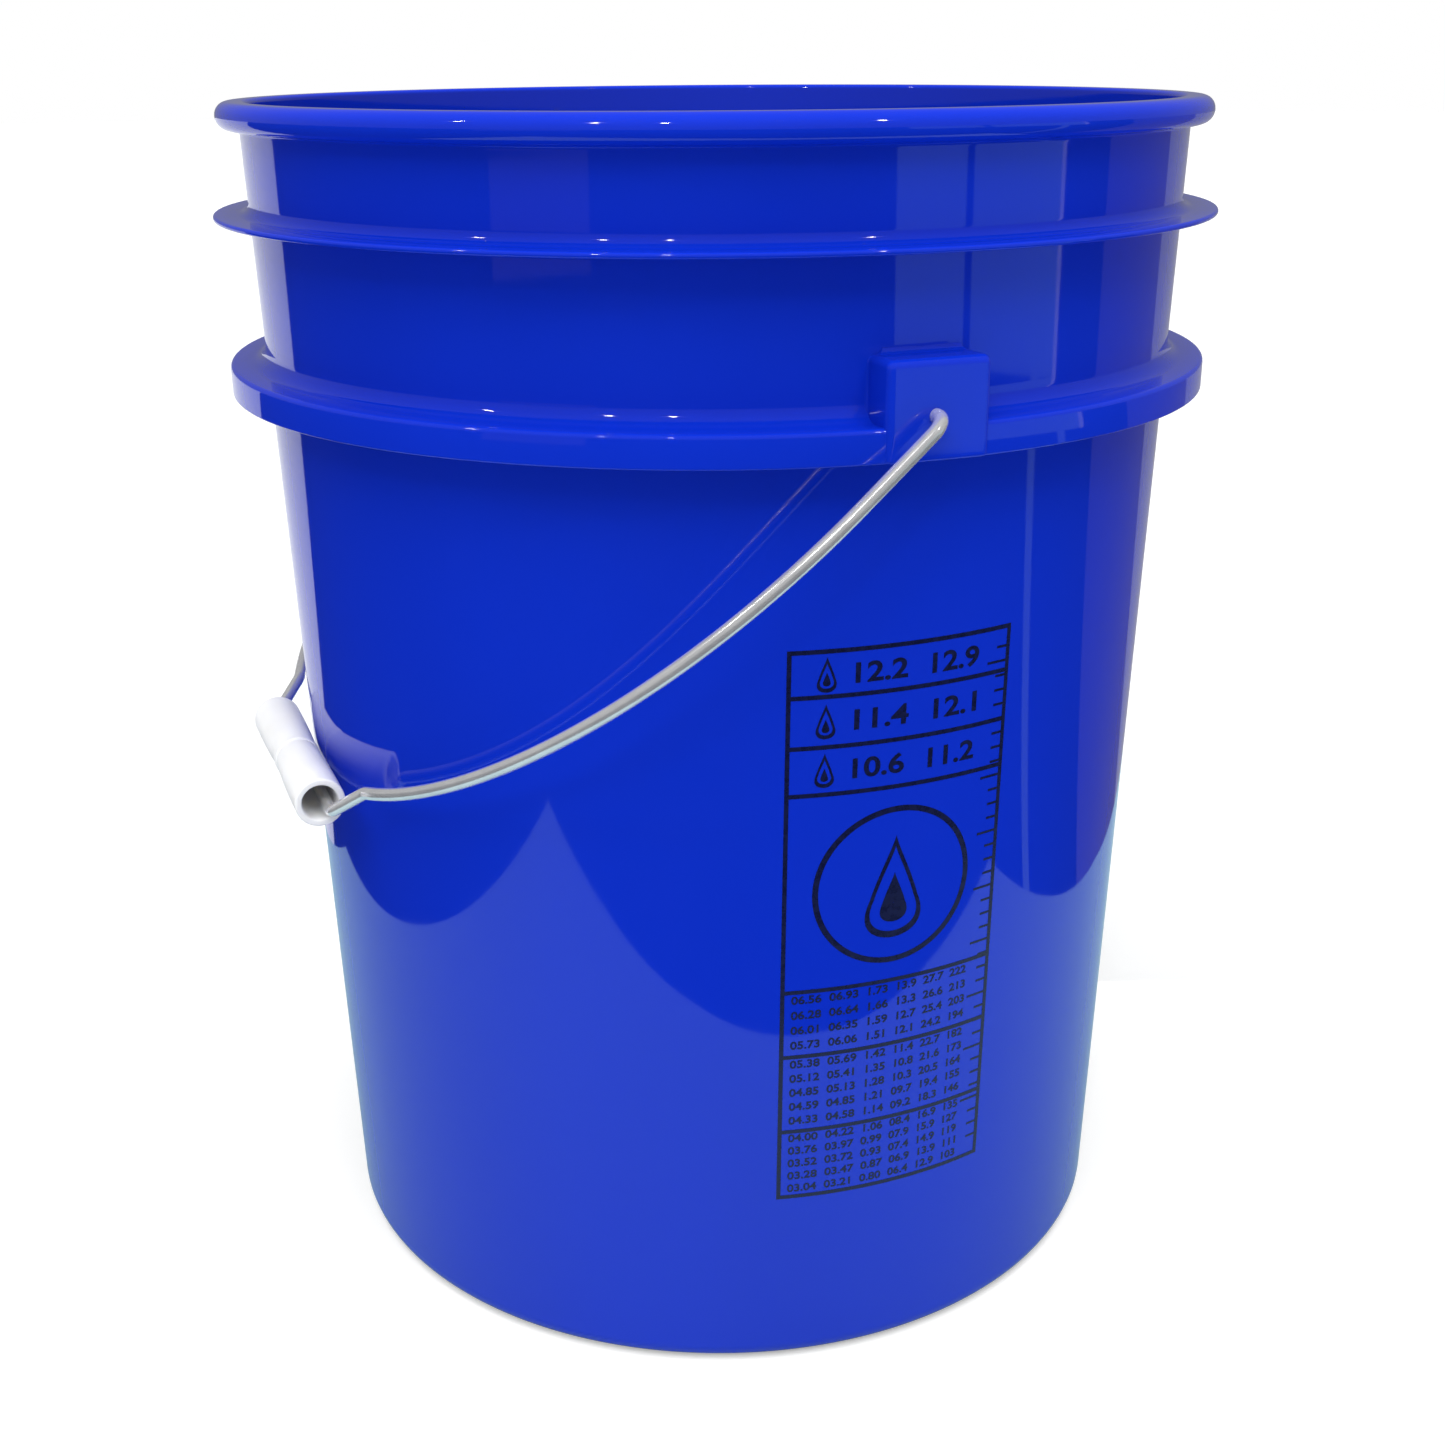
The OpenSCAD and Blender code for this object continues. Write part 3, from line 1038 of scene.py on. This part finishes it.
def make_floor():
    """The pale floor, in two sheets: one for the camera, which takes the soft shadow, and a
    duller one a hair above it, which gives the light that comes back up from a table."""
    far, gap = 10.5, 0.0006
    sheets = []
    for name, z, colour, glow in (("floor", -gap, (0.80, 0.80, 0.80), 0.40),
                                  ("floor_bounce", 0.0, (0.50, 0.52, 0.56), 0.0)):
        points = [(-far, -far, z), (far, -far, z), (far, far, z), (-far, far, z)]
        sheets.append(sheet_of(name, points, [[0, 1, 2, 3]], plain(name, colour, glow)))
    shown, bounce = sheets
    shown.visible_diffuse = False
    shown.visible_glossy = False
    bounce.visible_camera = False
    bounce.visible_shadow = False
    bounce.visible_glossy = False
    return sheets


def table_edge():
    """The table's outline in metres. Its front edge is bowed: it comes forward by
    TABLE_FRONT at the middle, less TABLE_BOW times the square of the distance from there."""
    x = np.linspace(TABLE_LEFT, TABLE_RIGHT, 6)
    y = TABLE_BOW * (x - TABLE_MIDDLE) ** 2 - TABLE_FRONT
    sides = [TABLE_SIDE, TABLE_BACK_RIGHT, TABLE_BACK_LEFT]
    return np.concatenate([np.stack([x, y], -1), sides])


def make_room():
    """The floor of the room round the table, which only gloss reflections see. It is a ring
    of quads from the table's edge outwards, just above the pale floor. Each quad is dark,
    grey or pale by its direction from the pail and its distance."""
    up, steps = 0.0004, 40
    outline = table_edge()
    corners = np.concatenate([outline, outline[:1]])
    share = (np.arange(steps) / steps)[:, None]
    edge = np.concatenate([a + (b - a) * share for a, b in zip(corners[:-1], corners[1:])])
    count = len(edge)
    near = np.linalg.norm(edge, axis=1, keepdims=True)
    rings = [edge] + [edge / near * reach for reach in ROOM_RINGS]
    flat = np.concatenate(rings)
    points = np.concatenate([flat, np.full((len(flat), 1), up)], 1)
    faces = grid_quads(len(rings), count, wrap_columns=True)
    faces.append(np.arange(count).tolist())
    sheet = sheet_of("room", points.tolist(), faces, plain("room_dark", (0.006, 0.010, 0.016)))
    for name, colour in (("room_dim", (0.09, 0.08, 0.09)), ("room_grey", (0.18, 0.29, 0.30)),
                         ("room_side", (0.22, 0.22, 0.23)),
                         ("room_pale", (0.56, 0.57, 0.60)), ("table", (0.29, 0.43, 0.45))):
        sheet.data.materials.append(plain(name, colour))
    centre = points[np.array(faces[:-1])].mean(1)
    turn = np.degrees(np.arctan2(centre[:, 0], -centre[:, 1]))
    away = np.linalg.norm(centre[:, :2], axis=1)
    shade = np.full(len(faces) - 1, DARK)
    for low, high, inner, outer, kind in ROOM_PATCHES:
        shade[(turn >= low) & (turn < high) & (away >= inner) & (away < outer)] = kind
    sheet.data.polygons.foreach_set("material_index", np.append(shade, TABLE_TOP))
    sheet.visible_camera = False
    sheet.visible_diffuse = False
    sheet.visible_shadow = False
    sheet.visible_transmission = False
    return sheet


def make_sun(name, turn, height, strength, spread_deg):
    """A broad sun that lights the scene but never shows in gloss. Its turn is round the pail
    from the near ear, and its height is above the horizon, both in degrees."""
    data = bpy.data.lights.new(name, "SUN")
    data.energy = strength
    data.angle = math.radians(spread_deg)
    light = bpy.data.objects.new(name, data)
    bpy.context.scene.collection.objects.link(light)
    t, h = math.radians(turn), math.radians(height)
    way = Vector((math.sin(t) * math.cos(h), -math.cos(t) * math.cos(h), math.sin(h)))
    light.rotation_mode = "QUATERNION"
    light.rotation_quaternion = (-way).to_track_quat("-Z", "Y")
    light.visible_glossy = False
    return light


def make_backdrop():
    """A white dome behind everything, which only the camera sees."""
    rows, columns, far = 12, 48, 11.0
    h = np.linspace(-0.2, math.pi / 2 - 0.02, rows)[:, None]
    t = (np.arange(columns) * 2 * np.pi / columns)[None, :]
    dome = [far * np.cos(h) * np.sin(t), far * np.cos(h) * np.cos(t), far * np.sin(h) + 0 * t]
    points = np.stack(dome, -1).reshape(-1, 3)
    faces = grid_quads(rows, columns, wrap_columns=True)
    sheet = sheet_of("backdrop", points.tolist(), faces, plain("backdrop_white", (0.0, 0.0, 0.0), 1.0))
    shader = sheet.data.materials[0].node_tree.nodes["Principled BSDF"]
    shader.inputs["Emission Color"].default_value = (1.0, 1.0, 1.0, 1.0)
    shader.inputs["Specular IOR Level"].default_value = 0.0
    sheet.visible_diffuse = False
    sheet.visible_glossy = False
    sheet.visible_shadow = False
    sheet.visible_transmission = False
    return sheet


def soft_light(name, place, size, power, aim=(0.0, 0.0, 0.15)):
    """A soft oblong light at a place, turned to face a point."""
    data = bpy.data.lights.new(name, "AREA")
    data.shape = "RECTANGLE"
    data.size, data.size_y = size
    data.energy = power
    light = bpy.data.objects.new(name, data)
    bpy.context.scene.collection.objects.link(light)
    gap = np.array(aim) - np.array(place)
    light.location = place
    light.rotation_mode = "QUATERNION"
    light.rotation_quaternion = Vector(gap).to_track_quat("-Z", "Y")
    return light


def make_world(strength):
    """An even white surround."""
    world = bpy.data.worlds.new("surround")
    world.use_nodes = True
    back = world.node_tree.nodes["Background"]
    back.inputs["Color"].default_value = (1.0, 1.0, 1.0, 1.0)
    back.inputs["Strength"].default_value = strength
    bpy.context.scene.world = world


make_floor()
make_room()
make_backdrop()
make_world(0.25)
make_sun("overhead", -20.0, 78.0, 4.5, 70.0)
make_sun("front", -30.0, 28.0, 0.45, 80.0)
for turn in LAMP_TURNS:
    a = math.radians(turn)
    place = (LAMP_RANGE * math.sin(a), -LAMP_RANGE * math.cos(a), LAMP_HEIGHT)
    soft_light(f"lamp {turn}", place, LAMP_SIZE, LAMP_POWER)
bpy.context.scene.view_settings.view_transform = "Standard"
